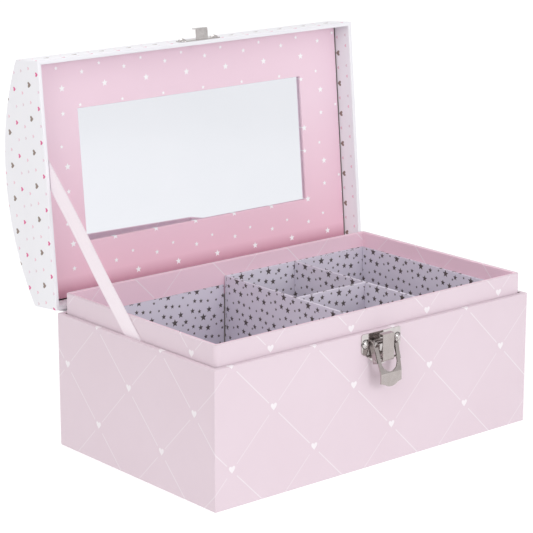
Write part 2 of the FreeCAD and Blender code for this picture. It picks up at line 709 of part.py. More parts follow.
def make_claw():
    """Claw: a knuckle round its pin, a flat strip up the front and a hooked top."""
    half, front, metal, height = D.claw_half, D.claw_front, D.metal, D.claw_height
    strip = block("claw_strip", (-half, -front, 0), (half, metal - front, height))
    top = block("claw_top", (-half, -front, height - metal), (half, D.claw_reach - front, height))
    lip = block("claw_lip", (-half, D.claw_reach - front - metal, height - D.claw_lip),
                (half, D.claw_reach - front, height))
    knuckle = rod("claw_knuckle", -half, half, 0, 0, front)
    hole = rod("claw_hole", -half - 1, half + 1, 0, 0, D.claw_pin_radius + D.running)
    claw = cut("latch_claw", fuse("claw_solid", [strip, top, lip, knuckle]), [hole])
    keep(place(claw, 0, *claw_pin_place()))


def make_keeper():
    """Keeper on the lid's front: a riveted plate and the hook that the claw pulls on."""
    half, low, high = D.plate_half, mouth + D.keeper_low, mouth + D.keeper_high
    corner = D.keeper_corner
    points = [(corner - half, high), (-half, high - corner), (-half, low + corner),
              (corner - half, low), (half - corner, low), (half, low + corner),
              (half, high - corner), (half - corner, high)]
    corner_in = corner - corner * diagonal
    bends = {0: (corner, corner_in - half, high - corner_in),
             2: (corner, corner_in - half, low + corner_in),
             4: (corner, half - corner_in, low + corner_in),
             6: (corner, half - corner_in, high - corner_in)}
    plate = padded("keeper_sheet", "XZ_Plane", points, D.metal, bends)
    place(plate, 0, lid_front - D.metal / 2, 0)
    hook, out, base = D.hook_half, D.hook_out, mouth + D.hook_low
    floor = block("keeper_hook_floor", (-hook, lid_front - out, base),
                  (hook, lid_front - D.metal / 2, base + D.metal))
    lip = block("keeper_hook_lip", (-hook, lid_front - out, base),
                (hook, lid_front - out + D.metal, base + D.hook_lip))
    drills = rivet_bores("keeper_drill", lid_front - 2, lid_front + 1, mouth + D.keeper_rivet,
                         D.rivet_shank)
    keeper = cut("latch_keeper", fuse("keeper_solid", [plate, floor, lip]), drills)
    keep(place_on_lid(keeper))


# ---------------------------------------------------------------- whole object

def write_parts():
    doc.recompute()
    for obj in doc.Objects:
        if "Invalid" in obj.State or "Error" in obj.State:
            raise RuntimeError("%s did not rebuild: %s" % (obj.Label, obj.State))
    os.makedirs("parts", exist_ok=True)
    for part in parts:
        if part.Shape.isNull() or not part.Shape.isValid():
            raise RuntimeError("%s has no valid shape" % part.Label)
    for part in parts:
        part.Shape.exportStep("parts/%s.step" % part.Label)
        print("%-24s solids %d  volume %.1f" % (part.Label, len(part.Shape.Solids), part.Shape.Volume))


make_base()
make_collar()
make_well_liner()
make_tray()
make_lid_shell()
make_lid_papers()
make_panel()
make_cloth_hinge()
make_ribbon()
make_latch_plate()
make_rivets("latch_rivets", D.rivet_out, place, front_face - D.metal, D.rivet_height,
            D.metal + D.paper + D.board)
make_lever()
make_latch_pins()
make_claw()
make_keeper()
make_rivets("keeper_rivets", D.rivet_out, place_on_lid, lid_front - D.metal, mouth + D.keeper_rivet,
            D.metal + wall_skin)
write_parts()
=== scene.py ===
"""Looks of a domed keepsake box of paper-covered board, with its lid held open by a ribbon."""
import json
import math

import bmesh
import bpy
from mathutils import Matrix, Vector


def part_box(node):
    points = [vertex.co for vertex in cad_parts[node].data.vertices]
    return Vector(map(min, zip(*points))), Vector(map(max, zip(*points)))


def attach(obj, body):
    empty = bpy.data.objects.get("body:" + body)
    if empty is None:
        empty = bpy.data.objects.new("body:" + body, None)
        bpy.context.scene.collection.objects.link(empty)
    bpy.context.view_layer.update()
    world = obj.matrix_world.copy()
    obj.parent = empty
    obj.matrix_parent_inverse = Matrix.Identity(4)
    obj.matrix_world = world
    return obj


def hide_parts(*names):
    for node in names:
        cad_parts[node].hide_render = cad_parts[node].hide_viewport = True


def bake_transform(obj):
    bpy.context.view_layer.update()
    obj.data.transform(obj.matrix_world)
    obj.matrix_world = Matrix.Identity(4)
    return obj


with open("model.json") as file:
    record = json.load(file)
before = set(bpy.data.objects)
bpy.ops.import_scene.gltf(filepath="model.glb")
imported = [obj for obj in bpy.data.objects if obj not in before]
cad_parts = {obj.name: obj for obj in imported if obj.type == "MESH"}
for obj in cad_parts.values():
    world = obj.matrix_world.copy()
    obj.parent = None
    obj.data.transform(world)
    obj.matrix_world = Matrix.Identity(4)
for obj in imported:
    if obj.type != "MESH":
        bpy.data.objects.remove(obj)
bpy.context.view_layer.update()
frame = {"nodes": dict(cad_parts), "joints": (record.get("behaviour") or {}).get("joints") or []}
nodes = frame["nodes"]


# ---------------------------------------------------------------- outer box
# Four grey board walls and a bottom, wrapped in one sheet of pink paper that is glued down, folded
# over the walls' top edges and turned under the box.  The print is a lattice of thin white lines
# with a small white heart at each crossing, and runs on round the corners.

class Ink:
    """An output of a material's nodes that can be used in sums, as a number is."""

    def __init__(self, finish, socket):
        self.finish = finish
        self.socket = socket

    def maths(self, operation, *others, clamp=False):
        """A maths node whose first value is this one."""
        settings = {"operation": operation, "use_clamp": clamp}
        return self.finish.node("ShaderNodeMath", settings, dict(enumerate((self, *others))))

    def __add__(self, other):
        return self.maths("ADD", other)

    def __sub__(self, other):
        return self.maths("SUBTRACT", other)

    def __rsub__(self, other):
        return self.maths("MULTIPLY_ADD", -1, other)

    def __mul__(self, other):
        return self.maths("MULTIPLY", other)

    def __truediv__(self, other):
        return self.maths("DIVIDE", other)

    __radd__ = __add__

    def __abs__(self):
        return self.maths("ABSOLUTE")

    def wrapped(self, period):
        """The distance to the nearest repeat, from minus half a period to half a period."""
        return self.maths("WRAP", period / 2, -period / 2)

    def under(self, edge, soft):
        """1 where the value is below the edge, 0 above it, with a short fade."""
        return self.maths("MULTIPLY_ADD", -1 / soft, edge / soft + 0.5, clamp=True)

    def either(self, other):
        """The larger of two masks, which covers what each of them covers."""
        return self.maths("MAXIMUM", other)

    def reach(self, other):
        """The distance from the point where this and the other are both 0."""
        return (self * self + other * other).maths("SQRT")


class Finish:
    """A material made of nodes.  Its constants are sockets of the main shader by name."""

    def __init__(self, name, roughness, **constants):
        self.material = bpy.data.materials.new(name)
        self.material.use_nodes = True
        self.tree = self.material.node_tree
        self.shader = self.tree.nodes["Principled BSDF"]
        self.shader.inputs["Roughness"].default_value = roughness
        for socket, value in constants.items():
            self.shader.inputs[socket.replace("_", " ")].default_value = value

    def feed(self, socket, value):
        """Link a socket to an Ink, or set it to a plain value."""
        if isinstance(value, Ink):
            self.tree.links.new(value.socket, socket)
        else:
            socket.default_value = value

    def node(self, kind, settings, inputs, output=0):
        """Add a node: its settings first, then its sockets' values or links."""
        added = self.tree.nodes.new(kind)
        for name, value in settings.items():
            setattr(added, name, value)
        for name, value in inputs.items():
            self.feed(added.inputs[name], value)
        return Ink(self, added.outputs[output])

    def shade(self, **inputs):
        """Feed the main shader's sockets and give back the finished material."""
        for socket, value in inputs.items():
            self.feed(self.shader.inputs[socket.replace("_", " ")], value)
        return self.material

    def place(self, kind="Object"):
        """A piece's own coordinates: Object, or UV for those of its flat sheet."""
        return self.node("ShaderNodeTexCoord", {}, {}, {"UV": 2, "Object": 3}[kind])

    def parts_of(self, vector):
        """The x, y and z of a vector."""
        return [self.node("ShaderNodeSeparateXYZ", {}, {0: vector}, axis) for axis in range(3)]

    def noise(self, place, scale, detail=3.0):
        return self.node("ShaderNodeTexNoise", {},
                         {"Vector": place, "Scale": scale, "Detail": detail})

    def mix(self, factor, first, second):
        """One colour laid over another by a factor."""
        return self.node("ShaderNodeMix", {"data_type": "RGBA"},
                         {0: factor, 6: first, 7: second}, 2)

    def bump(self, height, strength, distance):
        return self.node("ShaderNodeBump", {},
                         {"Height": height, "Strength": strength, "Distance": distance})


def colour(red, green, blue):
    """A colour as a shader wants it, from the three numbers of a paint chart."""
    def straight(part):
        part = part / 255
        return part / 12.92 if part <= 0.04045 else ((part + 0.055) / 1.055) ** 2.4
    return (straight(red), straight(green), straight(blue), 1.0)


def mm(length):
    """Millimetres as metres."""
    return length / 1000


def heart(across, up, size):
    """Mask of an upright heart about the point where across and up are 0, size wide."""
    x = abs(across) / (size / 2)
    y = up * 1.25 / (size / 2) - x.maths("SQRT")
    return (x * x + y * y).under(1.0, 0.35)


PAPER_MOTTLE, PAPER_TOOTH = 90, 1500  # specks to the metre
PAPER_GREY = (0.55, 0.45, 0.5, 1)


def paper_grain(finish, place, shade, amount=0.035):
    """The faint mottle and tooth of uncoated paper: its colour, roughness and bump."""
    mottle = finish.noise(place, PAPER_MOTTLE, 4)
    tooth = finish.noise(place, PAPER_TOOTH, 2)
    dull = finish.mix((mottle - 0.5) * 2 * amount + amount, shade, PAPER_GREY)
    bump = finish.bump(tooth * 0.7 + mottle * 0.3, 0.25, mm(0.05))
    return {"Base_Color": dull, "Roughness": 0.5 + mottle * 0.16, "Normal": bump}


LATTICE = mm(68.8)
RISING_LINE, FALLING_LINE, LINE_EDGE = mm(0.42), mm(0.46), mm(0.3)
HEART, GAP_ROUND_HEART = mm(5.0), mm(5.6)


def diamond_paper(name, inside_from):
    """Pink paper with the white lattice, whose origin is a heart.  Above inside_from the sheet
    lines the inside, where a stronger, brighter pink is painted in for light bounced round inside."""
    finish = Finish(name, 0.55)
    sheet = finish.place("UV")
    across, up, _ = finish.parts_of(sheet)
    rising = (across - up).wrapped(LATTICE)
    falling = (across + up).wrapped(LATTICE)
    beside, above = (rising + falling) / 2, (falling - rising) / 2
    clear = 1 - beside.reach(above).under(GAP_ROUND_HEART, LINE_EDGE)
    waver = finish.noise(sheet, 260, 2) * 0.5 + 0.75
    lines = (abs(rising).under(RISING_LINE, LINE_EDGE) * 0.34).either(
        abs(falling).under(FALLING_LINE, LINE_EDGE) * 0.5)
    print_white = (lines * clear * waver).either(heart(beside, above, HEART) * 0.72)
    pink = finish.mix(finish.noise(sheet, 14, 2), colour(226, 209, 218), colour(222, 203, 212))
    # painted bounced light: a stronger, brighter pink on the top and the inside lining
    pink = finish.mix(up.under(inside_from, mm(0.5)), colour(238, 203, 217), pink)
    shade = finish.mix(print_white, pink, colour(246, 243, 245))
    return finish.shade(**paper_grain(finish, sheet, shade))


def box_start(name, low, high):
    """Start a piece as a box from its low corner to its high corner, with nothing else selected."""
    bpy.ops.object.select_all(action="DESELECT")
    low, high = Vector(low), Vector(high)
    bpy.ops.mesh.primitive_cube_add(size=1, location=(low + high) / 2)
    piece = bpy.context.object
    piece.name = name
    piece.scale = high - low
    bpy.ops.object.transform_apply(location=True, rotation=True, scale=True)
    return piece


def pick(piece, kind, test):
    """In edit mode, select the faces or edges that pass a test and nothing else."""
    bpy.ops.mesh.select_mode(type={"faces": "FACE", "edges": "EDGE", "verts": "VERT"}[kind])
    bpy.ops.mesh.select_all(action="DESELECT")
    mesh = bmesh.from_edit_mesh(piece.data)
    mesh.normal_update()
    for item in getattr(mesh, kind):
        if test(item):
            item.select_set(True)
    mesh.select_flush_mode()
    bmesh.update_edit_mesh(piece.data)


def facing(z):
    """Test for the faces that look up (z 1) or down (z -1)."""
    return lambda face: face.normal.z * z > 0.9


SHARP = math.radians(50)


def sharp(edge):
    """Test for the edges where two faces meet at a corner."""
    return len(edge.link_faces) == 2 and edge.calc_face_angle() > SHARP


def apply_modifier(piece, kind, **settings):
    """Add a modifier to a piece and apply it at once."""
    bpy.context.view_layer.objects.active = piece
    bpy.ops.object.modifier_add(type=kind)
    modifier = piece.modifiers[-1]
    for name, value in settings.items():
        setattr(modifier, name, value)
    bpy.ops.object.modifier_apply(modifier=modifier.name)


def lay_print(piece, rule):
    """Give every corner of every face its place on the flat printed sheet, in metres."""
    mesh = piece.data
    while mesh.uv_layers:
        mesh.uv_layers.remove(mesh.uv_layers[0])
    sheet = mesh.uv_layers.new(name="Print")
    for face in mesh.polygons:
        for corner in face.loop_indices:
            point = mesh.vertices[mesh.loops[corner].vertex_index].co
            sheet.data[corner].uv = rule(point, face.center, face.normal)


def around(half_x, half_y, top, wall, heart_at):
    """Rule for a papered tube: along its walls from the front left corner, and up the outside,
    over the top edge and down the inside, measured from one of the print's hearts."""
    def rule(point, middle, normal):
        inward = {"front": middle.y + half_y, "back": half_y - middle.y,
                  "left": middle.x + half_x, "right": half_x - middle.x}
        side = min(inward, key=inward.get)
        along, depth = {
            "front": (point.x + half_x, point.y + half_y),
            "right": (2 * half_x + point.y + half_y, half_x - point.x),
            "back": (3 * half_x + 2 * half_y - point.x, half_y - point.y),
            "left": (-point.y - half_y, point.x + half_x)}[side]
        if normal.z > 0.7:
            up = top + depth
        elif normal.z < -0.7:
            up = -depth
        elif inward[side] > wall / 2:
            up = 2 * top + wall - point.z
        else:
            up = point.z
        return (along - heart_at[0], up - heart_at[1])
    return rule


def finish_piece(piece, material, slot, body, *stands_for):
    """Give a piece its material, soft shading and its place in the frame."""
    piece.data.materials.clear()
    piece.data.materials.append(material)
    bpy.context.view_layer.objects.active = piece
    bpy.ops.object.select_all(action="DESELECT")
    piece.select_set(True)
    bpy.ops.object.shade_smooth_by_angle(angle=math.radians(35))
    if stands_for:
        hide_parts(*stands_for)
    if body:
        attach(piece, body)


low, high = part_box("base_wrap_paper")
ledge, turn_under, fold = mm(3.25), mm(14), mm(0.55)
base_paper = box_start("base_paper", low, high)
bpy.ops.object.mode_set(mode="EDIT")
for way, lap in ((1, ledge), (-1, turn_under)):
    pick(base_paper, "faces", facing(way))
    bpy.ops.mesh.inset(thickness=lap)
    bpy.ops.mesh.delete(type="FACE")
pick(base_paper, "edges", sharp)
bpy.ops.mesh.bevel(offset=fold, segments=3, affect="EDGES")
bpy.ops.object.mode_set(mode="OBJECT")
apply_modifier(base_paper, "SOLIDIFY", thickness=mm(0.25), offset=-1)
lay_print(base_paper, around(high.x, high.y, high.z, ledge, (mm(48), mm(59.5))))
finish_piece(base_paper, diamond_paper("diamond_paper", mm(60)), "diamond_paper", "base",
             "base_wrap_paper")


def grey_board():
    """Recycled grey board: flecked, dull and a little warm."""
    finish = Finish("grey_board", 0.85)
    place = finish.place()
    fleck = finish.noise(place, 1800, 2)
    cloud = finish.noise(place, 60, 3)
    shade = finish.mix(fleck * 0.6 + cloud * 0.4, colour(150, 146, 138), colour(190, 186, 178))
    return finish.shade(Base_Color=shade, Normal=finish.bump(fleck, 0.4, mm(0.1)))


def plain_white_paper():
    finish = Finish("plain_white_paper", 0.7)
    place = finish.place()
    return finish.shade(**paper_grain(finish, place, colour(240, 238, 238)))


board = grey_board()
for name, node in nodes.items():
    if name.startswith(("base_", "collar_", "lid_", "mirror_b", "panel_")):
        node.data.materials.clear()
        node.data.materials.append(board)
nodes["base_underside_paper"].data.materials[0] = plain_white_paper()


# ---------------------------------------------------------------- collar
# One strip of thinner board folded round into a ring and glued inside the walls, so its corners are
# soft.  The same pink paper covers what stands above the walls and turns down the inside.

low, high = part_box("collar_wrap_paper")
wall, round_corner, rim = mm(3.2), mm(3.25), mm(0.5)
collar = box_start("collar", low, high)
bpy.ops.object.mode_set(mode="EDIT")
pick(collar, "edges", lambda edge: abs(edge.verts[0].co.z - edge.verts[1].co.z) > mm(5))
bpy.ops.mesh.bevel(offset=round_corner, segments=6, affect="EDGES")
pick(collar, "faces", facing(-1))
bpy.ops.mesh.delete(type="FACE")
pick(collar, "faces", facing(1))
bpy.ops.mesh.inset(thickness=wall)
bpy.ops.mesh.extrude_region_move(TRANSFORM_OT_translate={"value": (0, 0, low.z - high.z)})
bpy.ops.mesh.delete(type="FACE")
pick(collar, "edges",
     lambda edge: sharp(edge) and min(v.co.z for v in edge.verts) > high.z - mm(0.1))
bpy.ops.mesh.bevel(offset=rim, segments=3, affect="EDGES")
bpy.ops.object.mode_set(mode="OBJECT")
apply_modifier(collar, "SOLIDIFY", thickness=mm(0.2), offset=-1)
lay_print(collar, around(high.x, high.y, high.z, wall, (mm(44.7), mm(96.9))))
finish_piece(collar, diamond_paper("collar_paper", mm(13)), "diamond_paper", "base",
             "collar_wrap_paper")


# ---------------------------------------------------------------- well liner and divided tray
# Card and thin board covered in lilac-white paper that is printed all over with small brown-black
# stars of several sizes, one point up.  The tray is glued up from separate covered boards.

def star(across, up, size, plump=0.46):
    """Mask of a five-pointed star with one point up, size from its middle to a point.  plump is
    how far out its inner corners lie, as a share of that."""
    slant = math.atan2(1 - plump * math.cos(math.pi / 5), plump * math.sin(math.pi / 5))
    lean = abs(across.maths("ARCTAN2", up).wrapped(2 * math.pi / 5)) - slant
    return (across.reach(up) * lean.maths("COSINE")).under(size * math.cos(slant), mm(0.22))


def rows_of(across, up, row, shift):
    """Fold a sheet's coordinates into one row of its print; each row above is shifted along."""
    number = (up / row).maths("FLOOR")
    return across - number * shift, up - number * row


# one repeat of the print in mm: each star's place across and up, and its size
STAR_CARD = ((-1.2, 89.7, 1.8), (-7.9, 90.8, 1.6), (-19.1, 91.1, 0.85), (-13.7, 87.5, 0.9),
             (-14.5, 92.7, 1.25), (-28.7, 83.4, 1.3), (-23.1, 82.6, 1.25), (-16.9, 81.8, 1.0),
             (-9.4, 81.4, 0.85), (-30.7, 76.4, 1.5), (-24.5, 75.1, 1.25), (-15.8, 75.3, 1.75),
             (-28.2, 70.9, 0.8), (-21.0, 70.2, 2.1), (-13.9, 67.4, 0.8), (-11.2, 69.4, 1.5))
STAR_CARD_PITCH, STAR_CARD_ROW, STAR_CARD_SHIFT = 25.48, 27.8, -9.9
STAR_CARD_FROM, STAR_CARD_SLOPE, STAR_SPREAD = 66.3, 0.0153, 1.4


def all_stars(across, up, stars, pitch, first_row, spread=1.0):
    """Mask of a list of stars in mm, repeated along a row that starts at first_row."""
    mask = None
    for x, z, size in stars:
        one = star((across - mm(x)).wrapped(mm(pitch)), up - mm(z - first_row), mm(size * spread))
        mask = one if mask is None else mask.either(one)
    return mask


def star_paper():
    """Lilac-white paper with brown-black stars, printed a little out of square."""
    finish = Finish("star_paper", 0.6)
    sheet = finish.place("UV")
    across, up, _ = finish.parts_of(sheet)
    across, up = rows_of(across, up + across * STAR_CARD_SLOPE - mm(STAR_CARD_FROM),
                         mm(STAR_CARD_ROW), mm(STAR_CARD_SHIFT))
    dark = all_stars(across, up, STAR_CARD, STAR_CARD_PITCH, STAR_CARD_FROM, STAR_SPREAD)
    shade = finish.mix(dark * 0.95, colour(216, 210, 223), colour(56, 42, 36))
    return finish.shade(**paper_grain(finish, sheet, shade, 0.03))


def by_facing(front_start):
    """Rule for covered boards: each face takes its place on the sheet from the way it faces.
    front_start is where the sheet of a face that looks forward begins, in mm."""
    def rule(point, middle, normal):
        if abs(normal.z) > 0.7:
            return (point.x + mm(3), point.y + mm(5))
        across = -point.x * normal.y + point.y * normal.x
        looks_forward = abs(normal.y) >= abs(normal.x) and normal.x + normal.y <= 0
        start = front_start if looks_forward else (7, 3)
        return (across + mm(start[0]), point.z + mm(start[1]))
    return rule


stars = star_paper()
low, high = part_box("well_liner_card")
liner = box_start("well_liner", low, high)
bpy.ops.object.mode_set(mode="EDIT")
pick(liner, "faces", lambda face: face.normal.z > 0.9 or face.normal.x > 0.9)
bpy.ops.mesh.delete(type="FACE")
bpy.ops.object.mode_set(mode="OBJECT")
apply_modifier(liner, "SOLIDIFY", thickness=mm(0.8), offset=-1)
apply_modifier(liner, "BEVEL", width=mm(0.25), segments=2, limit_method="ANGLE", angle_limit=SHARP)
lay_print(liner, by_facing((0, 0)))
finish_piece(liner, stars, "star_card", "base", "well_liner_card")

for name in ("tray_wall_left", "tray_wall_right", "tray_wall_back", "tray_wall_front",
             "tray_divider_long", "tray_divider_cross", "tray_floor"):
    low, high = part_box(name)
    covered = box_start(name + "_covered", low, high)
    apply_modifier(covered, "BEVEL", width=mm(0.45), segments=3, limit_method="ANGLE",
                   angle_limit=SHARP)
    lay_print(covered, by_facing((7, 3)))
    finish_piece(covered, stars, "star_card", "base", name)


# ---------------------------------------------------------------- lid
# Domed lid: five boards under one white paper printed with small hearts, folded round the mouth's
# edge and up the inside as far as the panel.

HINGE = Vector(next(joint for joint in frame["joints"] if joint["name"] == "lid_hinge")["pos_m"])
OPEN = math.radians(95)


def onto_lid(piece):
    """Turn a piece made as for a shut lid, from the hinge line as origin, up to the open lid."""
    piece.data.transform(Matrix.Translation(HINGE) @ Matrix.Rotation(-OPEN, 4, "X"))


# one repeat of the print in mm: each heart's place across and up, its size and its ink
HEART_PRINT = ((11.6, 1.1, 2.0, (232, 205, 218)), (4.3, 11.2, 2.2, (235, 200, 212)),
               (2.4, 20.3, 2.1, (226, 208, 216)), (10.3, 20.3, 2.2, (236, 196, 210)),
               (0.5, 1.9, 3.0, (222, 96, 148)), (16.1, 11.3, 3.9, (140, 122, 112)))
HEART_PITCH, HEART_ROW, HEART_SHIFT, HEART_START = 22.75, 27.7, 12.0, 4.5


def heart_paper():
    """White paper with hot pink, brown and pale hearts in slanting rows."""
    finish = Finish("heart_paper", 0.55)
    sheet = finish.place("UV")
    across, up, _ = finish.parts_of(sheet)
    across, up = rows_of(across, up + mm(HEART_START), mm(HEART_ROW), mm(HEART_SHIFT))
    shade = colour(239, 238, 242)
    for x, z, size, ink in HEART_PRINT:
        mask = heart((across - mm(x)).wrapped(mm(HEART_PITCH)), up - mm(z + HEART_START), mm(size))
        shade = finish.mix(mask, shade, colour(*ink))
    return finish.shade(**paper_grain(finish, sheet, shade, 0.02))


HALF_WIDTH, DEPTH, BACK = mm(140), mm(169), mm(-1.0)
MOUTH, LID_WALL, RISE = mm(0.1), mm(26.0), mm(23.8)
EDGE, LINING = mm(2.9), mm(15.4)
NEAR_WALL_TOP = MOUTH + mm(20)
middle_y = BACK - DEPTH / 2
dome = ((DEPTH / 2) ** 2 + RISE ** 2) / (2 * RISE)
centre_z = MOUTH + LID_WALL + RISE - dome
sweep = 2 * math.asin(DEPTH / 2 / dome)

lid_paper = box_start("lid_paper", (-HALF_WIDTH, BACK - DEPTH, MOUTH),
                      (HALF_WIDTH, BACK, MOUTH + LID_WALL))
bpy.ops.object.mode_set(mode="EDIT")
pick(lid_paper, "faces", facing(1))
bpy.ops.mesh.delete(type="ONLY_FACE")
pick(lid_paper, "edges",
     lambda edge: all(v.co.z > NEAR_WALL_TOP and v.co.y > middle_y for v in edge.verts))
bpy.ops.mesh.spin(steps=28, angle=sweep, center=(0, middle_y, centre_z), axis=(-1, 0, 0))
pick(lid_paper, "verts", lambda vert: True)
bpy.ops.mesh.remove_doubles(threshold=mm(0.05))
for side in (-1, 1):  # the domed ends: the dome's rim and the straight edge below it
    pick(lid_paper, "edges", lambda edge: all(v.co.x * side > 0 for v in edge.verts)
         and (edge.is_boundary or (abs(edge.verts[0].co.y - edge.verts[1].co.y) > mm(100)
                                   and all(v.co.z > NEAR_WALL_TOP for v in edge.verts))))
    bpy.ops.mesh.edge_face_add()
pick(lid_paper, "faces", lambda face: True)
bpy.ops.mesh.normals_make_consistent(inside=False)
pick(lid_paper, "faces", facing(-1))
bpy.ops.mesh.inset(thickness=EDGE)
bpy.ops.mesh.extrude_region_move(TRANSFORM_OT_translate={"value": (0, 0, LINING)})
bpy.ops.mesh.delete(type="FACE")
pick(lid_paper, "edges", sharp)
bpy.ops.mesh.bevel(offset=fold, segments=3, affect="EDGES")
bpy.ops.object.mode_set(mode="OBJECT")
apply_modifier(lid_paper, "SOLIDIFY", thickness=mm(0.25), offset=-1)


RIGHT_END_START, LONG_SHEET_START = (mm(2.45), mm(28.15)), mm(4)


def lid_sheet(point, middle, normal):
    """The lid's sheets: a long one over front, dome and back, and one on each end.  Heights are
    measured up from the mouth's outer edge, and run on below 0 over the edge to the inside."""
    forward, height = BACK - point.y, point.z - MOUTH
    edge_x = HALF_WIDTH - abs(middle.x)
    edge_y = min(BACK - middle.y, middle.y - BACK + DEPTH)
    on_edge = normal.z < -0.7
    inside = (abs(normal.z) < 0.7 and middle.z < MOUTH + mm(16)
              and min(edge_x, edge_y) > EDGE / 2)
    if edge_x < edge_y and (abs(normal.x) > 0.5 or on_edge):
        if on_edge:
            height = abs(point.x) - HALF_WIDTH
        elif inside:
            height = -EDGE - height
        if middle.x < 0:
            return (forward, height)
        return (RIGHT_END_START[0] - forward, height + RIGHT_END_START[1])
    if on_edge:
        height = -min(BACK - point.y, point.y - BACK + DEPTH)
    elif inside:
        height = -EDGE - height
    elif height > LID_WALL - mm(1):
        turn = math.atan2(point.y - middle_y, point.z - centre_z)
        height = LID_WALL + dome * (turn + sweep / 2)
    elif middle.y > middle_y:
        height = LID_WALL * 2 + dome * sweep - height
    return (point.x + LONG_SHEET_START, height)


lay_print(lid_paper, lid_sheet)
onto_lid(lid_paper)
finish_piece(lid_paper, heart_paper(), "heart_paper", "lid", "lid_wrap_paper", "lid_lining_paper")


# ---------------------------------------------------------------- lid panel
# Board panel glued in across the lid, covered in deeper pink paper with white stars, with a window
# cut in it for the looking glass that lies behind.

# one repeat of the print in mm: each star's place across and out from the hinge, and its size
PANEL_STARS = ((-4.9, 146.8, 2.5), (12.3, 156.4, 1.85), (-8.6, 160.9, 1.45))
PANEL_PITCH, PANEL_ROW, PANEL_SHIFT, PANEL_FROM = 35.6, 26.7, 17.8, 139.5
# how far out from the hinge the panel's painted shade reaches
PANEL_PAINTED_SHADE_TO = mm(115)


def lid_place(finish):
    """Coordinates of the lid's own frame, so a print lies straight on it."""
    return finish.node("ShaderNodeMapping", {"vector_type": "TEXTURE"},
                       {"Vector": finish.place(), "Location": HINGE, "Rotation": (-OPEN, 0, 0)})


def panel_paper():
    """Pink paper with white stars, with painted shade near the hinge: deeper pink towards it and a
    dark pink band along it.
    """
    finish = Finish("panel_paper", 0.55)
    place = lid_place(finish)
    across, toward, _ = finish.parts_of(place)
    forward = BACK - toward
    across, up = rows_of(across, forward - mm(PANEL_FROM), mm(PANEL_ROW), mm(PANEL_SHIFT))
    white = all_stars(across, up, PANEL_STARS, PANEL_PITCH, PANEL_FROM)
    # painted shade: the pink deepens towards the hinge, for the shade and pink bounced light deep
    # in the lid
    painted_shade_ramp = forward.maths("MULTIPLY", 1 / PANEL_PAINTED_SHADE_TO, clamp=True)
    pink = finish.mix(painted_shade_ramp, colour(243, 194, 210), colour(241, 213, 226))
    pink = finish.mix(finish.noise(place, 16, 2) * 0.2, pink, colour(238, 202, 216))
    # painted shadow: a dark pink band along the hinge edge, where the collar shades the panel
    pink = finish.mix(forward.under(mm(13), mm(9)) * 0.7, pink, colour(196, 130, 152))
    shade = finish.mix(white, pink, colour(252, 250, 251))
    return finish.shade(**paper_grain(finish, place, shade, 0.02))


def soften(node, width):
    """Round a piece's edges slightly; its triangles are joined first."""
    weld = node.modifiers.new("weld", "WELD")
    weld.merge_threshold = 1e-6
    bevel = node.modifiers.new("soften", "BEVEL")
    bevel.width = width
    bevel.segments = 2
    bevel.limit_method = "ANGLE"
    bevel.angle_limit = SHARP


panel = nodes["lid_panel_board"]
panel.data.materials[0] = panel_paper()
soften(panel, mm(0.3))


# ---------------------------------------------------------------- looking glass
# Flat silvered glass bedded behind the panel's window between card strips.

GLASS_SLOPE, GLASS_TWIST = 0.014, -0.06


def silvered_glass():
    """Silvered glass that lies about a degree out of true in its bed, most at the left."""
    finish = Finish("silvered_glass", 0.02, Metallic=1.0)
    place = lid_place(finish)
    across, toward, _ = finish.parts_of(place)
    askew = (across * GLASS_TWIST + GLASS_SLOPE) * (0 - toward)
    film = finish.noise(place, 25, 3)
    shade = finish.mix(film, colour(231, 232, 237), colour(227, 229, 234))
    return finish.shade(Base_Color=shade, Roughness=film * 0.02 + 0.005,
                        Normal=finish.bump(askew, 1.0, 1.0))


mirror = nodes["mirror_glass"]
mirror.data.materials.clear()
mirror.data.materials.append(silvered_glass())


# ---------------------------------------------------------------- cloth hinge
# A strip of white paper-faced cloth glued across the outside of the back, half on the box and half
# on the lid, that bends along the hinge line.

def cloth_weave(across, along, pitch):
    """Height of a plain weave: rounded threads that pass over and under each other."""
    warp = (across / pitch * math.pi).maths("SINE")
    weft = (along / pitch * math.pi).maths("SINE")
    return abs(warp * weft)


def hinge_cloth():
    """White paper-faced cloth with a fine plain weave."""
    finish = Finish("hinge_cloth", 0.75)
    sheet = finish.place("UV")
    across, along, _ = finish.parts_of(sheet)
    weave = cloth_weave(across, along, mm(0.5))
    shade = finish.mix(weave, colour(236, 233, 236), colour(246, 244, 246))
    return finish.shade(Base_Color=shade, Normal=finish.bump(weave, 0.35, mm(0.08)))


_, cloth_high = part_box("hinge_strip")
tail, bend = mm(11), mm(0.8)
bpy.ops.object.select_all(action="DESELECT")
bpy.ops.mesh.primitive_plane_add(size=1, location=(0, HINGE.y - bend, HINGE.z - tail / 2),
                                 rotation=(math.pi / 2, 0, 0))
hinge = bpy.context.object
hinge.name = "hinge_cloth"
hinge.scale = (cloth_high.x * 2, tail, 1)
bpy.ops.object.transform_apply(location=True, rotation=True, scale=True)
bpy.ops.object.mode_set(mode="EDIT")
pick(hinge, "edges", lambda edge: all(v.co.z > HINGE.z - mm(1) for v in edge.verts))
bpy.ops.mesh.spin(steps=10, angle=-OPEN, center=HINGE, axis=(1, 0, 0))
bpy.ops.mesh.extrude_region_move(TRANSFORM_OT_translate={
    "value": (0, tail * math.sin(OPEN), tail * math.cos(OPEN))})
bpy.ops.object.mode_set(mode="OBJECT")
lay_print(hinge, lambda point, middle, normal: (point.x, point.z + point.y))
apply_modifier(hinge, "SOLIDIFY", thickness=mm(0.35), offset=0)
finish_piece(hinge, hinge_cloth(), "hinge_cloth", None, "hinge_strip")
HINGE.y - bend
HINGE.z - mm(0.1)
HINGE.y + mm(0.1)
HINGE.z + bend
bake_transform(hinge)
tail * 2 + bend * OPEN


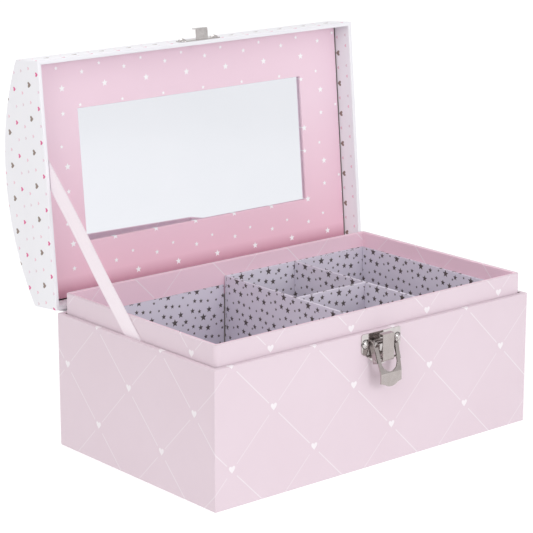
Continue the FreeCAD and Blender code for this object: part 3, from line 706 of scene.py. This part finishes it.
# ---------------------------------------------------------------- ribbon stay
# Pale pink satin ribbon, one end glued down between the wall and the collar, the other between the
# lid's end and the panel.  The open lid pulls it straight.

RIBBON_WIDTH, RIBBON_TAIL, SELVEDGE = mm(13.5), mm(13), mm(0.9)


def satin():
    """Pale pink satin: threads that float along the ribbon, between two firmer selvedges."""
    finish = Finish("satin", 0.42)
    sheet = finish.place("UV")
    across, along, _ = finish.parts_of(sheet)
    threads = cloth_weave(across, along, mm(0.28))
    drawn_out = finish.node("ShaderNodeMapping", {}, {"Vector": sheet, "Scale": (1, 0.06, 1)})
    float_lines = finish.noise(drawn_out, 2600, 2)
    selvedge = (RIBBON_WIDTH / 2 - abs(across)).under(SELVEDGE, mm(0.3))
    shade = finish.mix(float_lines, colour(240, 226, 234), colour(250, 240, 245))
    shade = finish.mix(selvedge * 0.35, shade, colour(226, 206, 216))
    height = float_lines * 0.6 + threads * 0.4 + selvedge * 0.5
    return finish.shade(Base_Color=shade, Roughness=0.36 + threads * 0.14,
                        Normal=finish.bump(height, 0.3, mm(0.06)))


ribbon_low, ribbon_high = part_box("ribbon_stay")
ribbon_x = (ribbon_low.x + ribbon_high.x) / 2
foot = Vector((ribbon_x, mm(4), mm(94)))
head = HINGE + Matrix.Rotation(-OPEN, 3, "X") @ Vector((0, BACK - mm(109.3), MOUTH + mm(15)))
head.x = ribbon_x
run = head - foot
length = run.length + 2 * RIBBON_TAIL
lean = math.atan2(run.z, run.y)
ripple, ripples, dish = mm(0.42), 2.3, mm(0.5)
bpy.ops.object.select_all(action="DESELECT")
bpy.ops.mesh.primitive_grid_add(x_subdivisions=60, y_subdivisions=6, size=1)
ribbon = bpy.context.object
ribbon.name = "ribbon"
ribbon.scale = (length, RIBBON_WIDTH, 1)
bpy.ops.object.transform_apply(scale=True)
for vert in ribbon.data.vertices:
    share = min(1, max(0, (vert.co.x + length / 2 - RIBBON_TAIL) / run.length))
    free = math.sin(math.pi * share)
    vert.co.z = free * (ripple * math.sin(math.pi * ripples * share)
                        + dish * (1 - (vert.co.y / RIBBON_WIDTH * 2) ** 2))
lay_print(ribbon, lambda point, middle, normal: (point.y, point.x))
quarter = math.pi / 2
ribbon.data.transform(Matrix.Translation((foot + head) / 2) @ Matrix.Rotation(lean, 4, "X")
                      @ Matrix.Rotation(quarter, 4, "Z") @ Matrix.Rotation(-quarter, 4, "X"))
apply_modifier(ribbon, "SOLIDIFY", thickness=mm(0.22), offset=0)
finish_piece(ribbon, satin(), "satin_ribbon", None, "ribbon_stay")
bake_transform(ribbon)


# ---------------------------------------------------------------- latch
# Draw latch of pressed steel, bright nickel plated: a riveted plate with two ears, a lever on a
# pin, and a claw on the lever that hooks over the keeper riveted to the lid.

RIVETS = ((mm(-14.2), mm(86.5)), (mm(14.2), mm(86.5)))
RIVET_HEAD = mm(3.0)


def nickel(name, dark, light, polish, rivets=()):
    """Nickel plate with faint brush marks, and a dark line of painted shadow round each rivet's
    head.
    """
    finish = Finish(name, 0.24, Metallic=1.0)
    place = finish.place()
    drawn_out = finish.node("ShaderNodeMapping", {}, {"Vector": place, "Scale": (1, 1, 0.06)})
    brushed = finish.noise(drawn_out, 5200, 3)
    cloud = finish.noise(place, 320, 3)
    shade = finish.mix(cloud, dark, light)
    across, _, up = finish.parts_of(place)
    for x, z in rivets:
        # painted shadow: a dark ring on the plate where each rivet's head meets it
        gap = abs((across - x).reach(up - z) - RIVET_HEAD)
        shade = finish.mix(gap.under(mm(0.3), mm(0.25)) * 0.75, shade, colour(70, 64, 62))
    return finish.shade(Base_Color=shade, Roughness=polish + cloud * 0.1 + brushed * 0.06,
                        Normal=finish.bump(brushed * 0.4 + cloud * 0.6, 0.12, mm(0.05)))


bright_nickel = nickel("bright_nickel", colour(192, 186, 185), colour(220, 215, 214), 0.03, RIVETS)
satin_nickel = nickel("satin_nickel", colour(172, 163, 161), colour(192, 184, 182), 0.16)
for name in ("latch_plate", "latch_lever", "latch_claw", "latch_keeper", "latch_rivets",
             "lever_pin", "claw_pin", "keeper_rivets"):
    node = nodes[name]
    node.data.materials.clear()
    node.data.materials.append(
        satin_nickel if name in ("latch_lever", "latch_claw") else bright_nickel)
    if not name.endswith("rivets"):
        soften(node, mm(0.18))


# ---------------------------------------------------------------- studio
# A glowing white floor in a white room, with a low soft box in front as the key, a large one on
# the left as the fill, and one above and behind for the lid's edge.  Dark cards that the camera
# can't see give the metal something to reflect.

def matt(name, cloud, darker, lighter, **constants):
    """A dull grey surface between two greys, with clouds of a given number to the metre."""
    finish = Finish(name, 0.9, **constants)
    shade = finish.mix(finish.noise(finish.place(), cloud, 2), (darker, darker, darker, 1),
                       (lighter, lighter, lighter, 1))
    return finish.shade(Base_Color=shade)


WHITE = (1, 1, 1, 1)
bpy.ops.object.select_all(action="DESELECT")
bpy.ops.mesh.primitive_circle_add(vertices=96, radius=9, fill_type="NGON", location=(0, 0, 0))
floor = bpy.context.object
floor.name = "floor"
floor.data.materials.append(matt("studio_floor", 0.8, 0.24, 0.27, Emission_Color=WHITE,
                                 Emission_Strength=0.8))

world = bpy.data.worlds.new("studio")
world.use_nodes = True
background = world.node_tree.nodes["Background"]
background.inputs["Color"].default_value = WHITE
background.inputs["Strength"].default_value = 0.75
bpy.context.scene.world = world


def soft_box(name, place, aim, side, power, tint=(1, 1, 1)):
    """A square soft light that shines from its place at its aim."""
    light = bpy.data.lights.new(name, "AREA")
    light.shape = "SQUARE"
    light.size = side
    light.energy = power
    light.color = tint
    lamp = bpy.data.objects.new(name, light)
    bpy.context.scene.collection.objects.link(lamp)
    lamp.location = place
    lamp.rotation_euler = (Vector(aim) - Vector(place)).to_track_quat("-Z", "Y").to_euler()


soft_box("key", (0.1, -2.3, 0.8), (0, 0, 0.1), 0.8, 12, (0.95, 0.97, 1.0))
soft_box("fill", (-1.9, -0.9, 1.3), (0, 0, 0.1), 1.8, 18)
soft_box("back", (0.2, 1.5, 2.0), (0, 0, 0.2), 1.2, 12)

# beside the camera, to both sides and on the floor: each card's place, the way it faces, its size
felt = matt("dark_card", 40, 0.02, 0.03)
for place, faces_way, size in (((-1.25, -1.45, 0.5), (1.25, 1.45, 0), (0.9, 0.9)),
                               ((1.5, -0.1, 0.35), (-1, 0.1, 0), (0.9, 0.7)),
                               ((-1.5, 0.1, 0.35), (1, 0, 0), (0.9, 0.7)),
                               ((-0.42, -0.46, 0.002), (0, 0, 1), (0.34, 0.34))):
    bpy.ops.object.select_all(action="DESELECT")
    bpy.ops.mesh.primitive_plane_add(size=1, location=place)
    card = bpy.context.object
    card.name = "dark_card"
    card.scale = (*size, 1)
    card.rotation_euler = Vector(faces_way).to_track_quat("Z", "Y").to_euler()
    card.visible_camera = False
    card.data.materials.append(felt)

azimuth, elevation, distance = math.radians(-40.14), math.radians(14.74), 1.4436
away = Vector((math.sin(azimuth) * math.cos(elevation), -math.cos(azimuth) * math.cos(elevation),
               math.sin(elevation)))
camera = bpy.data.objects.new("camera", bpy.data.cameras.new("camera"))
bpy.context.scene.collection.objects.link(camera)
camera.location = Vector((-0.02681, 0, 0.12416)) + away * distance
camera.rotation_euler = (-away).to_track_quat("-Z", "Y").to_euler()
camera.data.sensor_width = 36
camera.data.lens = 144.48
bpy.context.scene.camera = camera
bpy.context.scene.view_settings.view_transform = "Standard"
